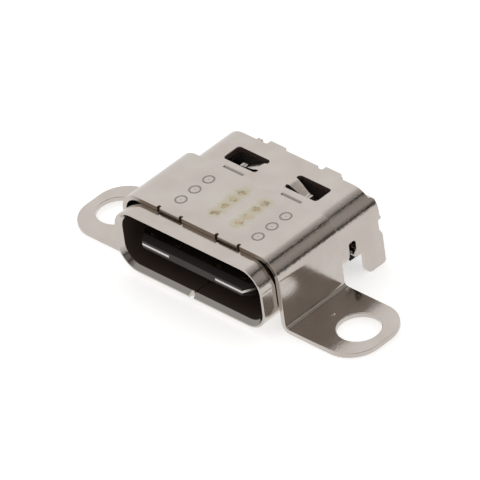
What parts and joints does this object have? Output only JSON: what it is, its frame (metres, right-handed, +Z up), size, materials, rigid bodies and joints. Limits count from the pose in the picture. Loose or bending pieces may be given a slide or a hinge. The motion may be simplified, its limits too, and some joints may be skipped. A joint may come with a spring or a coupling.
{
  "type": "usb-c socket",
  "caption": "Plug socket with a rolled steel shell, a tongue with contacts, solder tails and a welded strap with screw ears.",
  "frame": {"origin": "middle of the mouth, on the plug's axis", "axes": "+X to the right across both ears, +Y from the mouth into the socket, +Z up, away from the board"},
  "size_m": [0.0176, 0.0077, 0.0042],
  "materials": {
    "shell_steel": "nickel-plated stamped stainless sheet",
    "strap_steel": "nickel-plated stamped stainless sheet, spot welded",
    "black_moulding": "moulded black plastic",
    "plate_steel": "stainless sheet",
    "contact_gold": "gold-plated copper alloy"
  },
  "bodies": {
    "root": {"shell": "shell_steel", "strap": "strap_steel", "housing": "black_moulding", "tongue": "black_moulding", "mid_plate": "plate_steel", "ground_plate_upper": "plate_steel", "ground_plate_lower": "plate_steel", "contact_a1": "contact_gold", "contact_a4": "contact_gold", "contact_a5": "contact_gold", "contact_a6": "contact_gold", "contact_a7": "contact_gold", "contact_a8": "contact_gold", "contact_a9": "contact_gold", "contact_a12": "contact_gold", "contact_b1": "contact_gold", "contact_b4": "contact_gold", "contact_b5": "contact_gold", "contact_b6": "contact_gold", "contact_b7": "contact_gold", "contact_b8": "contact_gold", "contact_b9": "contact_gold", "contact_b12": "contact_gold"}
  },
  "joints": []
}
